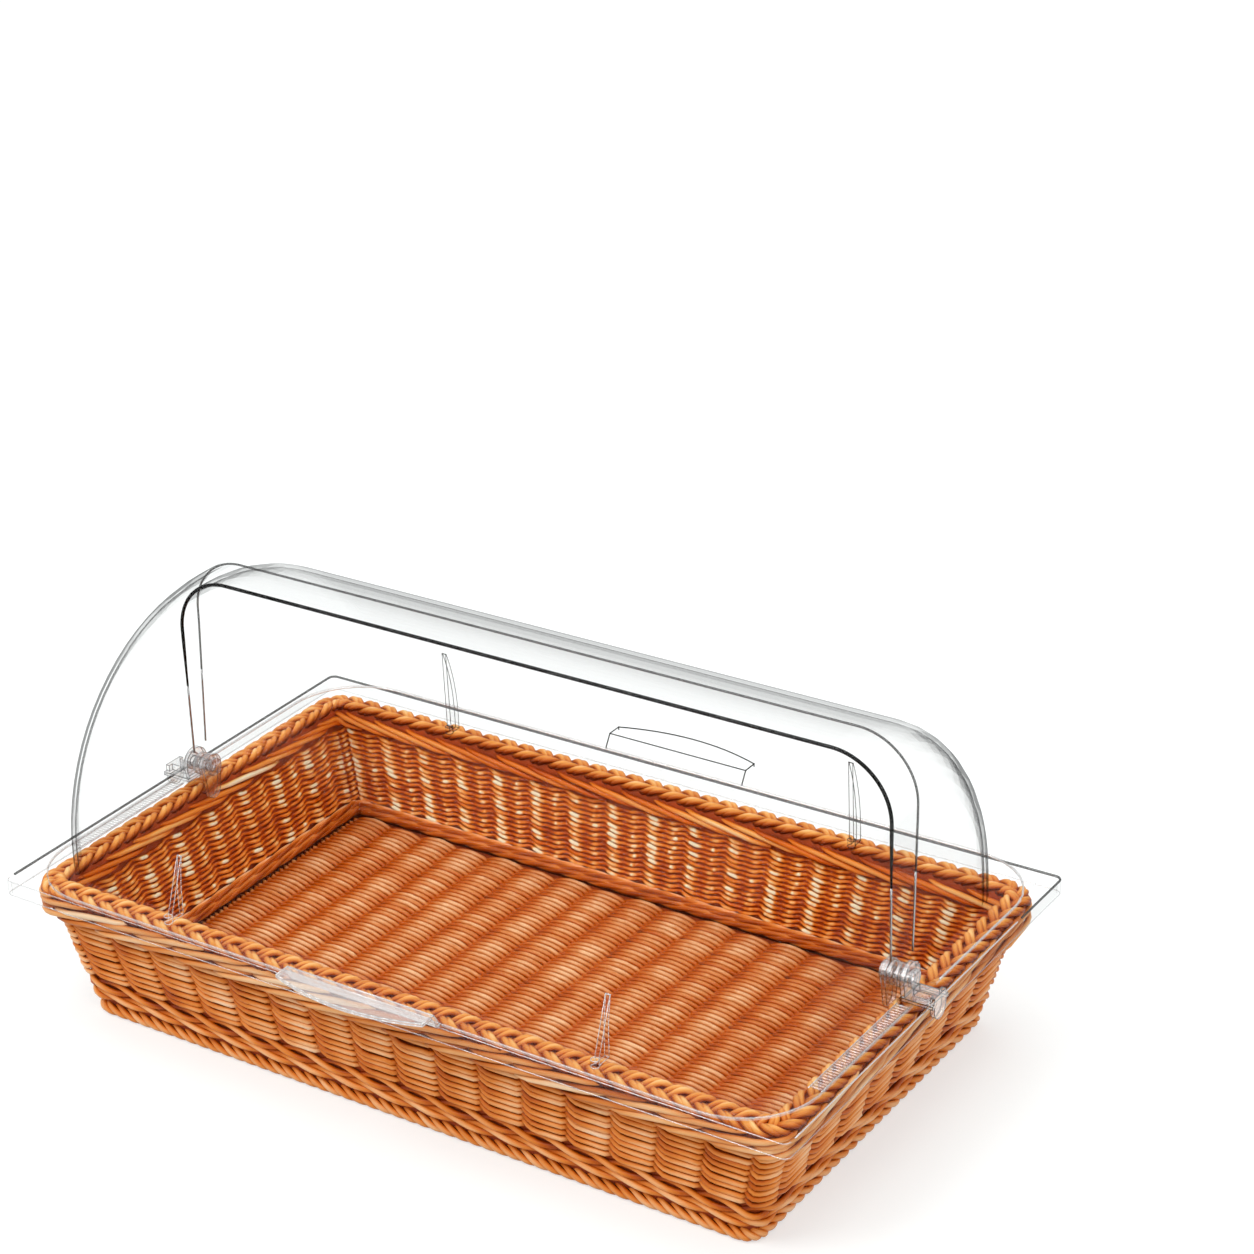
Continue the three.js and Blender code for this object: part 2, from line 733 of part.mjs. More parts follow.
const plateFootZ = axisZ - PLATE_DROP;
const plateOutline = [];
for (let step = 0; step <= HOLE_STEPS / 2; step++) {
  const angle = (Math.PI * step) / (HOLE_STEPS / 2);
  plateOutline.push([PLATE_TOP_R * Math.cos(angle), axisZ + PLATE_TOP_R * Math.sin(angle)]);
}
for (let step = 0; step <= HOLE_STEPS / 2; step++) {
  const angle = Math.PI + (Math.PI * step) / (HOLE_STEPS / 2);
  plateOutline.push([PLATE_FOOT_R * Math.cos(angle), plateFootZ + PLATE_FOOT_R * Math.sin(angle)]);
}
const pivotHole = axisDisc(plateInnerX - MARGIN, earOuterX + MARGIN, PIVOT_HOLE_D);
const plate = alongX(plateOutline, plateInnerX, plateOuterX).subtract(pivotHole);
const spacer = axisDisc(plateOuterX + GAP, rearInnerHalf - GAP, BUSH_D).subtract(pivotHole);
const bush = axisDisc(rearHalf + GAP, frontInnerHalf - GAP, BUSH_D).subtract(pivotHole);

const pivotPieces = [
  ["pivot_bracket", bracket, clearGrey],
  ["pivot_pin", pin, clearGrey],
  ["pivot_plate", plate, clearGrey],
  ["pivot_spacer", spacer, clearGrey],
  ["pivot_bush", bush, clearGrey],
];
for (const [name, solid, look] of pivotPieces) {
  addNode(name + "_right", solid, look);
  addNode(name + "_left", mirrored(solid, [1, 0, 0]), look);
}

// Shells, the rear one turned to face the back
const toBack = [0, 1, 0];
addNode(
  "front_shell",
  shellSolid(frontHalf, frontShellR, FRONT_EDGE_OVERLAP, shellEarR, FRONT_FLANGE_START, true),
  clear,
);
addNode(
  "rear_shell",
  mirrored(
    shellSolid(
      rearHalf,
      rearShellR,
      REAR_EDGE_OVERLAP,
      REAR_EDGE_OVERLAP,
      REAR_FLANGE_START,
      false,
    ),
    toBack,
  ),
  clear,
);

// Handles
addNode("front_handle", handleSolid(), clear);
addNode("rear_handle", mirrored(handleSolid(), toBack), clear);

// Ribs, outside the front shell and inside the rear one
for (const [side, x] of [
  ["left", -RIB_SPACING / 2],
  ["right", RIB_SPACING / 2],
]) {
  const frontRib = ribSolid(x, frontShellR + GAP, FRONT_RIB_DEPTH, FRONT_RIB_HEIGHT);
  addNode("front_rib_" + side, frontRib, clear);
  const rearRib = ribSolid(x, rearShellR - SHELL_T - GAP, -REAR_RIB_DEPTH, REAR_RIB_HEIGHT);
  addNode("rear_rib_" + side, mirrored(rearRib, toBack), clear);
}

export default group;
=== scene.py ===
"""Looks of a countertop bread display bin: a woven basket under a clear roll-top cover."""

import math

import bmesh
import bpy
import numpy as np
from mathutils import Matrix, Vector

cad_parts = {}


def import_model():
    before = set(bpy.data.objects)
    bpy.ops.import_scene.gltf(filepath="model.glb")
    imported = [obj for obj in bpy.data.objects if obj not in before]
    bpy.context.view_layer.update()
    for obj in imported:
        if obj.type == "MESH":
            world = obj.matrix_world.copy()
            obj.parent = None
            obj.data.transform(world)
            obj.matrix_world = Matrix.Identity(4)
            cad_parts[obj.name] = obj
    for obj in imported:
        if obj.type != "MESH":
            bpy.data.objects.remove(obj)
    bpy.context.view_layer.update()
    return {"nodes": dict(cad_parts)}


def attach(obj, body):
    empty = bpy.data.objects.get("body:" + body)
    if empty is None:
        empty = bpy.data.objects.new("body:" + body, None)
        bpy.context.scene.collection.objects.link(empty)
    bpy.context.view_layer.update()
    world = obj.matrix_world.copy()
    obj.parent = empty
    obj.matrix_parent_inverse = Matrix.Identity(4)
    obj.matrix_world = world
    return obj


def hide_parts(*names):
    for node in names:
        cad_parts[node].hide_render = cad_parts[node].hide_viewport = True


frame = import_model()

# Sizes and places are in millimetres, as in the solids, apart from the stage's
MM = 0.001
TURN = 2 * math.pi
rng = np.random.default_rng(7)

# Basket: outer faces as half length, half width and corner radius
WALL_FOOT = (243.0, 138.0, 14.0)
WALL_HEAD = (265.5, 149.6, 15.0)
RIM_FACE = (272.5, 156.5, 22.0)
WALL_TOP = 84.0
WALL_LEAN = -0.22
FLOOR_Z = 13.0
STAKE_PITCH = 27.55
STAKES = 17
COLUMNS = 52
CORE_POINTS = 224

# Share of the way round that each side and corner takes, in columns, from the middle of the front
SIDE_RUNS = np.array([8, 1, 8, 1, 16, 1, 8, 1, 8])
SIDE_MARKS = np.concatenate([[0], np.cumsum(SIDE_RUNS)]) / COLUMNS

# Cover
FRAME_FACE = (279.3, 164.3, 4.5)
FRAME_TOP = 96.8
FRAME_LOW = 87.2
FLANGE_FACE = (271.5, 163.5, 47.5)
FLANGE_LINE_Z = 99.0
FLANGE_TOP = 100.4
SHELL_THICK = 2.4
SHELL_CORNER = 40.0
SHELL_AXIS = 109.0

UP = (0.0, 0.0, 1.0)
BACKWARD = (0.0, 1.0, 0.0)


# Material nodes
def srgb(red, green, blue):
    """Linear colour of an sRGB triple from 0 to 255."""
    def linear(value):
        value = value / 255
        return value / 12.92 if value <= 0.04045 else ((value + 0.055) / 1.055) ** 2.4
    return (linear(red), linear(green), linear(blue), 1.0)


def grey(value):
    return (value, value, value, 1)


WHITE = grey(1)
PINKISH = (1, 0.93, 0.9, 1)


def material(name):
    """New material, its node tree and the tree's output."""
    made = bpy.data.materials.new(name)
    made.use_nodes = True
    made.node_tree.nodes.clear()
    return made, made.node_tree, made.node_tree.nodes.new("ShaderNodeOutputMaterial")


def plug(tree, value, socket):
    """Link an output to the socket, or set the socket to a constant."""
    if isinstance(value, bpy.types.NodeSocket):
        tree.links.new(value, socket)
    else:
        socket.default_value = value


def node(tree, kind, **inputs):
    """New node with its inputs linked or set. An underscore stands for a space in their names."""
    made = tree.nodes.new(kind)
    for key, value in inputs.items():
        plug(tree, value, made.inputs[key.replace("_", " ")])
    return made


def maths(tree, operation, *values):
    made = tree.nodes.new("ShaderNodeMath")
    made.operation = operation
    for value, socket in zip(values, made.inputs):
        plug(tree, value, socket)
    return made.outputs[0]


def object_place(tree):
    return tree.nodes.new("ShaderNodeTexCoord").outputs["Object"]


def noise(tree, where, scale, detail, roughness=0.5):
    made = node(tree, "ShaderNodeTexNoise", Vector=where, Scale=scale, Detail=detail, Roughness=roughness)
    return made.outputs["Fac"]


def spread(tree, share, low, high):
    """A share from 0 to 1 spread over the range from low to high."""
    return node(tree, "ShaderNodeMapRange", Value=share, To_Min=low, To_Max=high).outputs["Result"]


def ramp(tree, share, stops):
    """Colour ramp with its stops as pairs of a place and a colour."""
    made = node(tree, "ShaderNodeValToRGB", Fac=share)
    elements = made.color_ramp.elements
    while len(elements) < len(stops):
        elements.new(0.5)
    for element, (place, colour) in zip(elements, stops):
        element.position = place
        element.color = colour
    return made.outputs["Color"]


def bumped(tree, height, strength, depth):
    """Normal of a fine relief, its depth in metres."""
    return node(tree, "ShaderNodeBump", Height=height, Strength=strength, Distance=depth).outputs["Normal"]


def mixed(tree, share, first, second):
    made = node(tree, "ShaderNodeMixShader", Fac=share)
    plug(tree, first, made.inputs[1])
    plug(tree, second, made.inputs[2])
    return made.outputs["Shader"]


def background_rays(tree):
    """1 for rays from the camera and through or off clear pieces, which see the white stage."""
    path = tree.nodes.new("ShaderNodeLightPath")
    seen = maths(tree, "MAXIMUM", path.outputs["Is Camera Ray"], path.outputs["Is Transmission Ray"])
    return maths(tree, "MAXIMUM", seen, path.outputs["Is Glossy Ray"])


# Materials
def strand_material(name, stops, roughness=0.4):
    """Round woven strand: coloured by its tone, with soft streaks along it and a fine grain."""
    streaks_per_metre, streaks_round = 40.0, 5.0
    patches_per_metre, grains_per_metre = 30.0, 900.0
    unevenness = 0.34
    smoothest, roughest = roughness - 0.08, roughness + 0.1
    made, tree, out = material(name)
    # The tone attribute carries the painted light and shade set on each strand where it is made, and the
    # ramp turns it to colour
    tone = tree.nodes.new("ShaderNodeAttribute")
    tone.attribute_name = "tone"
    strand_uv = tree.nodes.new("ShaderNodeUVMap")
    strand_uv.uv_map = "Strand"
    stretch = node(
        tree, "ShaderNodeMapping", Vector=strand_uv.outputs["UV"],
        Scale=(streaks_per_metre, streaks_round, 1.0),
    )
    streak = noise(tree, stretch.outputs["Vector"], scale=1.0, detail=3.0, roughness=0.6)
    place = object_place(tree)
    patch = noise(tree, place, patches_per_metre, detail=2.0)
    grain = noise(tree, place, grains_per_metre, detail=2.0, roughness=0.6)
    shade = maths(tree, "MULTIPLY_ADD", streak, unevenness, tone.outputs["Fac"])
    shade = maths(tree, "MULTIPLY_ADD", patch, unevenness, shade)
    shade = maths(tree, "SUBTRACT", shade, unevenness)
    bsdf = node(
        tree, "ShaderNodeBsdfPrincipled",
        Base_Color=ramp(tree, shade, stops),
        Roughness=spread(tree, grain, smoothest, roughest),
        Specular_IOR_Level=0.17, Coat_Weight=0.04, Coat_Roughness=0.2,
        Normal=bumped(tree, streak, strength=0.3, depth=0.0002),
    )
    plug(tree, bsdf.outputs["BSDF"], out.inputs["Surface"])
    return made


def core_material(name, colour):
    """Shaded inner strands behind the visible ones."""
    dimmed = 0.55
    made, tree, out = material(name)
    mottle = noise(tree, object_place(tree), scale=120.0, detail=3.0)
    dim = tuple(channel * dimmed for channel in colour[:3]) + (1.0,)
    bsdf = node(
        tree, "ShaderNodeBsdfPrincipled", Roughness=0.8,
        Base_Color=ramp(tree, mottle, [(0.3, dim), (0.7, colour)]),
        Normal=bumped(tree, mottle, strength=0.4, depth=0.0005),
    )
    plug(tree, bsdf.outputs["BSDF"], out.inputs["Surface"])
    return made


def steel_material(name):
    """Drawn wire with a cloudy surface."""
    dull, bright = (0.42, 0.43, 0.44, 1), (0.62, 0.63, 0.64, 1)
    made, tree, out = material(name)
    cloud = noise(tree, object_place(tree), scale=300.0, detail=3.0)
    bsdf = node(
        tree, "ShaderNodeBsdfPrincipled", Metallic=1.0,
        Base_Color=ramp(tree, cloud, [(0.3, dull), (0.7, bright)]),
        Roughness=spread(tree, cloud, low=0.25, high=0.45),
    )
    plug(tree, bsdf.outputs["BSDF"], out.inputs["Surface"])
    return made


def clear_material(name, passed, gloss, rim_gloss, power=5.0, veil=0.0, veil_colour=WHITE):
    """Clear plastic. Passed lists the light let through, from where the surface faces the viewer
    (0) to where it turns away (1). Gloss grows by rim_gloss there, and veil is a milky share."""
    made, tree, out = material(name)
    facing = node(tree, "ShaderNodeLayerWeight", Blend=0.5).outputs["Facing"]
    haze = noise(tree, object_place(tree), scale=14.0, detail=2.0)
    stops = [(place, grey(share)) for place, share in passed]
    see = node(tree, "ShaderNodeBsdfTransparent", Color=ramp(tree, facing, stops))
    polish = spread(tree, haze, low=0.02, high=0.08)
    shine = node(tree, "ShaderNodeBsdfGlossy", Color=WHITE, Roughness=polish)
    turned = maths(tree, "POWER", facing, power)
    amount = maths(tree, "MULTIPLY_ADD", turned, rim_gloss, gloss)
    surface = mixed(tree, amount, see.outputs["BSDF"], shine.outputs["BSDF"])
    if veil:
        milk = node(tree, "ShaderNodeBsdfDiffuse", Color=veil_colour)
        surface = mixed(tree, veil, surface, milk.outputs["BSDF"])
    plug(tree, surface, out.inputs["Surface"])
    return made


def strand_stops(places, colours):
    return [(place, srgb(*colour)) for place, colour in zip(places, colours)]


EVEN_PLACES = (0.0, 0.25, 0.5, 0.75, 1.0)
INNER_PLACES = (0.0, 0.3, 0.55, 0.75, 1.0)
FLOOR_PLACES = (0.0, 0.3, 0.5, 0.75, 1.0)

# The dark and light ends of these ramps colour the painted shade and painted highlights that the strands'
# tones carry
OUTER = strand_material("wicker_outer", strand_stops(
    EVEN_PLACES, [(134, 46, 0), (196, 92, 6), (232, 138, 56), (250, 186, 128), (255, 224, 192)]))
RIM = strand_material("wicker_rim", strand_stops(
    EVEN_PLACES, [(96, 30, 0), (176, 82, 12), (220, 130, 56), (242, 176, 112), (252, 216, 176)]))
PLAIT = strand_material("wicker_plait", strand_stops(
    EVEN_PLACES, [(92, 26, 0), (160, 66, 8), (204, 108, 32), (236, 160, 76), (255, 216, 150)]))
INNER = strand_material("wicker_inner", strand_stops(
    INNER_PLACES, [(168, 60, 0), (218, 104, 8), (240, 144, 52), (250, 190, 108), (255, 248, 212)]), 0.34)
FLOOR = strand_material("wicker_floor", strand_stops(
    FLOOR_PLACES, [(84, 28, 0), (172, 72, 2), (190, 88, 14), (212, 132, 70), (240, 190, 140)]), 0.38)
CORE = core_material("wicker_core", srgb(184, 72, 0))
STEEL = steel_material("steel_wire")

CLEAR = clear_material(
    "clear_shell",
    [(0.0, 0.997), (0.5, 0.985), (0.62, 0.955), (0.74, 0.9), (0.87, 0.8), (0.96, 0.62), (1.0, 0.25)],
    gloss=0.0015, rim_gloss=0.06)
# Darker copy of the clear shell for its rounded ends, painting a grey band of shade near their silhouettes
CLEAR_END = clear_material(
    "clear_shell_end",
    [(0.0, 0.997), (0.55, 0.985), (0.68, 0.93), (0.75, 0.76), (0.8, 0.52), (0.92, 0.48), (1.0, 0.1)],
    gloss=0.0015, rim_gloss=0.06)
CLEAR_FLANGE = clear_material(
    "clear_flange", [(0.0, 0.995), (0.8, 0.98), (1.0, 0.75)], gloss=0.01, rim_gloss=0.03)
CLEAR_TAB = clear_material(
    "clear_tab", [(0.0, 0.99), (0.8, 0.96), (1.0, 0.7)],
    gloss=0.12, rim_gloss=0.25, veil=0.14, veil_colour=PINKISH)
CLEAR_RIB = clear_material(
    "clear_rib", [(0.0, 0.99), (0.6, 0.96), (0.85, 0.75), (1.0, 0.45)],
    gloss=0.01, rim_gloss=0.1, power=3.0)
CLEAR_STRIP = clear_material(
    "clear_strip", [(0.0, 0.96), (0.6, 0.88), (1.0, 0.5)],
    gloss=0.14, rim_gloss=0.2, veil=0.05, veil_colour=PINKISH)
# The dip in light let through at middling angles paints dark streaks, painted reflections on the glassy
# fittings
FITTING = clear_material(
    "clear_fitting",
    [(0.0, 0.99), (0.42, 0.97), (0.52, 0.86), (0.62, 0.96), (0.8, 0.84), (0.92, 0.5), (1.0, 0.2)],
    gloss=0.12, rim_gloss=0.6, power=2.4)
RAIL = clear_material(
    "clear_rail", [(0.0, 0.995), (0.9, 0.98), (1.0, 0.85)], gloss=0.006, rim_gloss=0.02)
RAIL_SIDE = clear_material(
    "clear_rail_side", [(0.0, 0.995), (0.3, 0.99), (0.5, 0.93), (0.9, 0.85), (1.0, 0.7)],
    gloss=0.01, rim_gloss=0.03)
# Materials of thin lines along clear edges, darker and lighter copies of one kind: the dark, grey and sheer
# ones paint shade and dark reflections, the light one paints highlights, and the faint one a faint painted
# line
EDGE_DARK = clear_material("clear_edge_dark", [(0.0, 0.02), (1.0, 0.01)], gloss=0.02, rim_gloss=0.05)
EDGE_GREY = clear_material("clear_edge_grey", [(0.0, 0.4), (1.0, 0.25)], gloss=0.05, rim_gloss=0.1)
EDGE_SHEER = clear_material("clear_edge_sheer", [(0.0, 0.3), (1.0, 0.15)], gloss=0.34, rim_gloss=0.2)
EDGE_FAINT = clear_material("clear_edge_faint", [(0.0, 0.92), (1.0, 0.75)], gloss=0.2, rim_gloss=0.2)
EDGE_LIGHT = clear_material(
    "clear_edge_light", [(0.0, 0.86), (1.0, 0.6)], gloss=0.42, rim_gloss=0.3, veil=0.06)


# Mesh helpers
def new_object(name, verts, faces, mats, body, smooth=True):
    """Object of its own mesh, riding on a body of the frame. The verts are in metres."""
    mesh = bpy.data.meshes.new(name)
    mesh.from_pydata(verts, [], faces)
    mesh.update()
    if smooth:
        mesh.shade_smooth()
    else:
        mesh.shade_flat()
    obj = bpy.data.objects.new(name, mesh)
    bpy.context.scene.collection.objects.link(obj)
    for mat in mats:
        mesh.materials.append(mat)
    if body:
        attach(obj, body)
    return obj


def unit(vectors):
    smallest = 1e-12
    return vectors / np.maximum(np.linalg.norm(vectors, axis=-1, keepdims=True), smallest)


def smooth_step(values, start, end):
    share = np.clip((values - start) / (end - start), 0, 1)
    return share * share * (3 - 2 * share)


def tube_rings(paths, outward, wide, thick, angle, closed):
    """Points round each strand at each point of its path, in metres."""
    if closed:
        along = unit(np.roll(paths, -1, 1) - np.roll(paths, 1, 1))
    else:
        along = unit(np.gradient(paths, axis=1))
    across = unit(np.cross(along, outward))
    up = np.cross(across, along)
    wide, thick = (
        np.broadcast_to(np.asarray(size, float), paths.shape[:2])[..., None, None] for size in (wide, thick)
    )
    ring = (
        paths[:, :, None, :]
        + wide * np.cos(angle)[None, None, :, None] * across[:, :, None, :]
        + thick * np.sin(angle)[None, None, :, None] * up[:, :, None, :]
    )
    return ring.reshape(-1, 3) * MM


def tube_sides(count, points, spans, sides):
    """Quads round all strands, between each ring and the next."""
    strand, here, k = np.meshgrid(np.arange(count), np.arange(spans), np.arange(sides), indexing="ij")
    there = (here + 1) % points
    beside = (k + 1) % sides
    first = strand * points * sides
    near, far = first + here * sides, first + there * sides
    return np.stack([near + k, far + k, far + beside, near + beside], -1).reshape(-1, 4)


def tube_ends(count, points, sides):
    """Fans of quads over both ends of each strand. The number of sides is even."""
    starts = np.arange(count) * points * sides
    ends = starts + (points - 1) * sides
    fans = []
    for k in range(1, sides - 1, 2):
        fans.append(np.stack([starts, starts + k, starts + k + 1, starts + k + 2], -1))
        fans.append(np.stack([ends + k + 2, ends + k + 1, ends + k, ends], -1))
    return np.concatenate(fans)


def tube_uv(paths, spans, sides, closed):
    """Length along each strand in metres and share of the turn round it, for the streaks."""
    count = len(paths)
    widest_shift = 9
    steps = np.linalg.norm(np.diff(paths, axis=1), axis=2)
    run = np.concatenate([np.zeros((count, 1)), np.cumsum(steps, 1)], 1) * MM
    if closed:
        back = np.linalg.norm(paths[:, 0] - paths[:, -1], axis=1)[:, None] * MM
        run = np.concatenate([run, run[:, -1:] + back], 1)
    shift = rng.random(count) * widest_shift
    u0 = (run[:, :spans] + shift[:, None])[..., None].repeat(sides, 2)
    u1 = (run[:, 1 : spans + 1] + shift[:, None])[..., None].repeat(sides, 2)
    v0 = np.broadcast_to((np.arange(sides) / sides)[None, None], u0.shape) + shift[:, None, None]
    v1 = v0 + 1 / sides
    corners = [np.stack(corner, -1) for corner in ((u0, v0), (u1, v0), (u1, v1), (u0, v1))]
    return np.stack(corners, 3).reshape(-1, 2)


def tubes(name, paths, outward, wide, thick, mat, body, sides=6, closed=False, tone=0.5, painted_side_shade=0.3):
    """One object of many round strands. Paths and outward directions are (strands, points, 3).
    Wide and thick are half sizes across and along the outward direction. The tone, from 0 to 1,
    varies a little by strand. Painted shade darkens the side that faces inward, and painted light lifts the
    side that faces outward a little, by the strength given last."""
    strand_variation = 0.06
    brightest = 0.75
    paths = np.asarray(paths, float)
    count, points = paths.shape[:2]
    spans = points if closed else points - 1
    angle = np.arange(sides) * TURN / sides
    verts = tube_rings(paths, outward, wide, thick, angle, closed)
    faces = tube_sides(count, points, spans, sides)
    uv = tube_uv(paths, spans, sides, closed)
    if not closed:
        ends = tube_ends(count, points, sides)
        faces = np.concatenate([faces, ends])
        uv = np.concatenate([uv, np.zeros((ends.size, 2))])
    obj = new_object(name, verts, faces.tolist(), [mat], body)
    layer = obj.data.uv_layers.new(name="Strand")
    layer.data.foreach_set("uv", uv.astype(np.float32).ravel())
    tone = np.broadcast_to(tone, (count, points)) + rng.normal(0.0, strand_variation, (count, 1))
    # Painted shade on each strand's inward side and painted light on its outward side
    tone = tone[:, :, None] + painted_side_shade * (np.sin(angle) - brightest)
    attribute = obj.data.attributes.new("tone", "FLOAT", "POINT")
    attribute.data.foreach_set("value", tone.ravel().astype(np.float32))
    return obj


def closed_band(name, loops, body):
    """Smooth ring made of loops round the basket, joined one to the next and the last to the first."""
    count, rows = len(loops[0]), len(loops)
    faces = []
    for row in range(rows):
        near, far = row * count, (row + 1) % rows * count
        for i in range(count):
            j = (i + 1) % count
            faces.append((near + i, near + j, far + j, far + i))
    return new_object(name, np.concatenate(loops) * MM, faces, [CORE], body)


# Lines round the basket and the frame
STRAIGHTS = {0: (0, -1, 0, 1), 2: (1, 0, -1, 1), 4: (0, 1, 1, -1), 6: (-1, 0, 1, -1), 8: (0, -1, -1, 0)}
CORNERS = {1: (1, -1, -90), 3: (1, 1, 0), 5: (-1, 1, 90), 7: (-1, -1, 180)}


def outline(q, half, wide, radius):
    """Points and outward directions of a rounded rectangle at shares q of the way round it, from
    the middle of the front and to the right first. A straight part has its direction and the
    shares of the side where it starts and ends, and a corner its place and starting angle."""
    q, half, wide, radius = np.broadcast_arrays(np.mod(q, 1.0), half, wide, radius)
    x, y, nx, ny = (np.zeros(q.shape) for _ in range(4))
    half_flat, wide_flat = half - radius, wide - radius
    part = np.clip(np.searchsorted(SIDE_MARKS, q, side="right") - 1, 0, len(SIDE_RUNS) - 1)
    share = (q - SIDE_MARKS[part]) / (SIDE_MARKS[part + 1] - SIDE_MARKS[part])
    for index, (to_x, to_y, start, end) in STRAIGHTS.items():
        here = part == index
        along = start + (end - start) * share[here]
        x[here] = to_x * half[here] + abs(to_y) * along * half_flat[here]
        y[here] = to_y * wide[here] + abs(to_x) * along * wide_flat[here]
        nx[here], ny[here] = to_x, to_y
    for index, (at_x, at_y, start) in CORNERS.items():
        here = part == index
        angle = np.radians(start + 90 * share[here])
        nx[here], ny[here] = np.cos(angle), np.sin(angle)
        x[here] = at_x * half_flat[here] + radius[here] * nx[here]
        y[here] = at_y * wide_flat[here] + radius[here] * ny[here]
    return x, y, nx, ny


def on_wall(q, z, out):
    """Points at a height and a distance out from the woven wall's outer face, with their outward
    directions."""
    share = z / WALL_TOP
    sizes = (low + (high - low) * share + out for low, high in zip(WALL_FOOT, WALL_HEAD))
    x, y, nx, ny = outline(q, *sizes)
    lean = np.full(x.shape, WALL_LEAN)
    return np.stack([x, y, np.broadcast_to(z, x.shape)], -1), unit(np.stack([nx, ny, lean], -1))


def on_rim(q, z, inset):
    """Points at a height and a distance in from the rim's outer face, with their outward
    directions."""
    x, y, nx, ny = outline(q, *(size - inset for size in RIM_FACE))
    return np.stack([x, y, np.broadcast_to(z, x.shape)], -1), np.stack([nx, ny, np.zeros(x.shape)], -1)


def wall_line(z, out):
    """Level line at a height and a distance out from the wall's outer face, as a function of the
    share of the way round."""
    return lambda q: on_wall(q, np.full(q.shape, z), np.full(q.shape, out))


def shares_round(count):
    return np.arange(count) / count


# Basket
def outer_weave():
    """Outer weave: columns of stacked strands, each coming out from behind the last column. The
    shares are places along a strand, 0 at the start of its column and 1 at the next column's."""
    rows, first_z, row_rise = 10, 30.6, 4.45
    shares = np.array([-0.16, -0.06, 0.04, 0.14, 0.26, 0.4, 0.58, 0.78, 0.93, 1.04])
    start, end = shares[0], shares[-1]
    start_lift, lift_run = 5.2, (start, 0.34)
    end_lift, level_share = 0.9, 0.4
    hidden_out = -4.6
    comes_out, out_run = 3.3, (-0.14, 0.24)
    goes_in, in_run = 2.6, (0.92, end)
    half_wide, half_thick = 1.8, 1.55
    # Painted shade where a strand comes out from behind the last column and where it tucks in again, and
    # painted light rising along the part that stands out
    dark, lighter, light_run = 0.2, 0.2, (-0.12, 0.25)
    lightest, lightest_run = 0.24, (0.25, 0.8)
    darker, dark_run = 0.26, (0.9, end)
    z_varies, point_varies, out_varies, size_varies, tone_varies = 0.3, 0.1, 0.2, 0.1, 0.07
    row, column, share = np.meshgrid(np.arange(rows), np.arange(COLUMNS), shares, indexing="ij")

    def by_strand(variation):
        """A random value for each strand."""
        return rng.normal(0, variation, row.shape[:2])[..., None]

    lift = start_lift * (1 - smooth_step(share, *lift_run))
    lift = lift + end_lift * np.clip(share - level_share, 0, None)
    z = first_z + row_rise * row + lift + by_strand(z_varies) + rng.normal(0, point_varies, row.shape)
    out = comes_out * smooth_step(share, *out_run) - goes_in * smooth_step(share, *in_run)
    points, outward = on_wall((column + share) / COLUMNS, z, hidden_out + out + by_strand(out_varies))
    wide = (half_wide + by_strand(size_varies)) * np.ones_like(share)
    tone = dark + lighter * smooth_step(share, *light_run) + lightest * smooth_step(share, *lightest_run)
    tone = tone - darker * smooth_step(share, *dark_run) + by_strand(tone_varies)
    flat = (-1, len(shares))
    return tubes(
        "outer_weave", points.reshape(flat + (3,)), outward.reshape(flat + (3,)), wide.reshape(flat),
        half_thick, OUTER, "basket", sides=8, tone=tone.reshape(flat))


def wall_core():
    """Shaded ring inside the wall, between the outer and the inner strands."""
    q = shares_round(CORE_POINTS)
    bottom, outer_face, inner_face = 8, -3.9, -5.6
    section = [(bottom, outer_face), (WALL_TOP, outer_face), (WALL_TOP, inner_face), (bottom, inner_face)]
    return closed_band("wall_core", [wall_line(z, out)(q)[0] for z, out in section], "basket")


def inner_weave():
    """Inner weave: rows of strands that bead over the stakes and, more weakly, half way between.
    Widths and places of beads and dips are in columns, and strengths are for odd and even rows."""
    rows, first_z, row_rise, row_slope = 15, 26.0, 3.3, 0.9
    points_per_column = 16
    row_offset = 0.04
    stake_bead, stake_strengths = 0.12, (0.8, 1.0)
    between_bead, between_strengths = 0.075, (0.7, 0.4)
    dip_place, dip_width = 0.26, 0.09
    inset, bead_height, dip_depth = 6.5, 1.1, 1.3
    half_wide, bead_growth, dip_loss, half_thick = 1.3, 0.22, 0.05, 1.4
    # Painted glints on the beads and painted shade in the dips between them
    dark, bead_light, dip_shade = 0.38, 0.5, 0.16
    z_varies, bead_varies, tone_varies = 0.12, 0.26, 0.08
    q = shares_round(COLUMNS * points_per_column)
    row, q_all = np.meshgrid(np.arange(rows), q, indexing="ij")
    odd = row % 2
    phase = np.mod(q_all * COLUMNS + 0.5 + row_offset * (odd - 0.5), 1.0) - 0.5
    at_stake = np.exp(-((phase / stake_bead) ** 4)) * np.where(odd, *stake_strengths)
    from_middle = np.abs(phase) - 0.5
    between = np.exp(-((from_middle / between_bead) ** 4)) * np.where(odd, *between_strengths)
    bead = np.maximum(at_stake, between)
    dip = np.exp(-(((np.abs(phase) - dip_place) / dip_width) ** 2))
    inward = inset + bead_height * bead - dip_depth * dip
    z = first_z + row_rise * row + row_slope * np.sin(TURN * phase) + rng.normal(0, z_varies, row.shape)
    points, outward = on_wall(q_all, z, -inward)
    wide = half_wide + bead_growth * bead - dip_loss * dip
    nearest_stake = (q * COLUMNS + 0.5).astype(int) % COLUMNS
    light = bead_light + rng.normal(0.0, bead_varies, (rows, COLUMNS))[:, nearest_stake]
    tone = dark + light * bead - dip_shade * dip + tone_varies * rng.normal(size=row.shape)
    return tubes(
        "inner_weave", points, -outward, wide, half_thick, INNER, "basket", closed=True, tone=tone,
        painted_side_shade=0.5)


